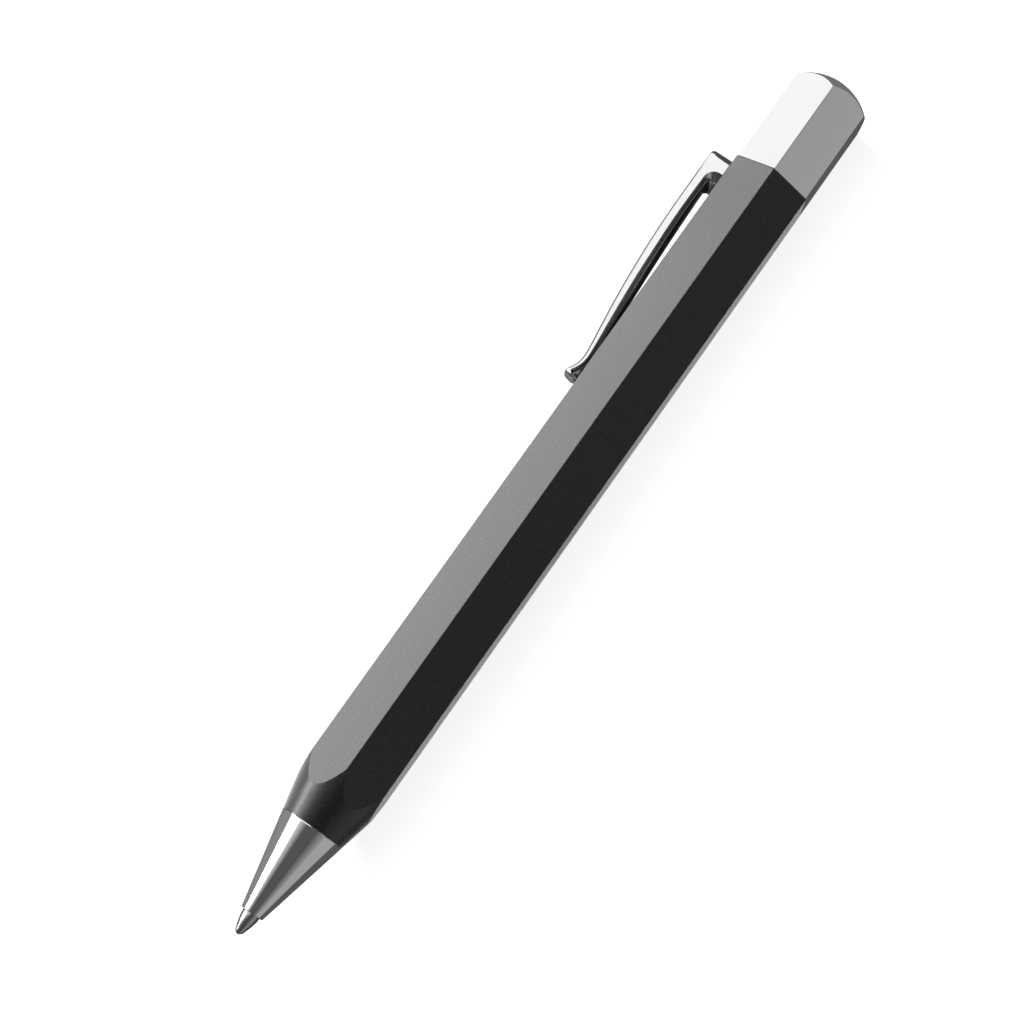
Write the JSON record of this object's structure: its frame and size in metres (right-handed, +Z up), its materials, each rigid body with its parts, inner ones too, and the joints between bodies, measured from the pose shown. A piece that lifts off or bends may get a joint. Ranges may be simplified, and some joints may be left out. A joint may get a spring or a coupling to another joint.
{
  "type": "twist-action ballpoint pen",
  "caption": "Hexagonal twist-action ballpoint pen: satin graphite barrel with a conical front, bright nose cone, domed twist cap and sprung clip, and a cam that draws the refill in.",
  "frame": {"origin": "on the flat that the pen rests on, under its axis, halfway along its length", "axes": "+X along the pen towards the end cap, +Z up out of the flat it rests on, clip on the +Y side"},
  "size_m": [0.1306, 0.0142, 0.0112],
  "materials": {
    "graphite": "satin graphite coat with a fine grain",
    "bright_chrome": "mirror polished plating",
    "turned_brass": "turned",
    "plain_steel": "drawn and ground",
    "spring_steel": "drawn wire",
    "refill_steel": "drawn tube",
    "point_metal": "turned bright",
    "ball_metal": "polished",
    "moulded_plastic": "moulded",
    "plug_plastic": "moulded",
    "ring_rubber": "matte",
    "ink_paste": "wet paste"
  },
  "bodies": {
    "barrel": {"barrel": "graphite", "front_bush": "turned_brass", "mechanism_housing": "turned_brass", "guide_tube": "plain_steel", "thrust_washer": "moulded_plastic", "friction_ring": "ring_rubber", "clip_pin": "plain_steel", "clip_spring": "spring_steel"},
    "nose": {"nose_cone": "bright_chrome"},
    "end_cap": {"end_cap": "bright_chrome", "cap_insert": "moulded_plastic", "cam_sleeve": "turned_brass"},
    "refill": {"refill_tube": "refill_steel", "refill_point": "point_metal", "refill_plug": "plug_plastic", "ink_charge": "ink_paste", "return_spring": "spring_steel", "push_rod": "moulded_plastic", "follower_pin": "plain_steel"},
    "ball": {"writing_ball": "ball_metal"},
    "clip": {"clip": "bright_chrome"}
  },
  "joints": [
    {"name": "cap_twist", "type": "hinge", "parent": "barrel", "child": "end_cap", "pos_m": [0.04884, 0, 0.0052], "axis": [1, 0, 0], "range_deg": [0, 180]},
    {"name": "refill_slide", "type": "slide", "parent": "barrel", "child": "refill", "axis": [1, 0, 0], "range_m": [0, 0.0046], "deforming": ["return_spring"]},
    {"name": "ball_roll", "type": "hinge", "parent": "refill", "child": "ball", "pos_m": [-0.06476, 0, 0.0052], "axis": [0, 1, 0], "continuous": true},
    {"name": "clip_lift", "type": "hinge", "parent": "barrel", "child": "clip", "pos_m": [0.04724, 0.00385, 0.00743], "axis": [0, 0.5, -0.866], "range_deg": [0, 7], "stiffness_Nm_per_rad": 0.2, "springref_deg": -8.59, "deforming": ["clip_spring"]},
    {"name": "nose_cone_off", "type": "slide", "parent": "barrel", "child": "nose", "axis": [-1, 0, 0], "range_m": [0, 0.03]}
  ],
  "couplings": [
    {"joint": "cap_twist", "follows": "refill_slide", "rad_per_m": 682.95}
  ]
}
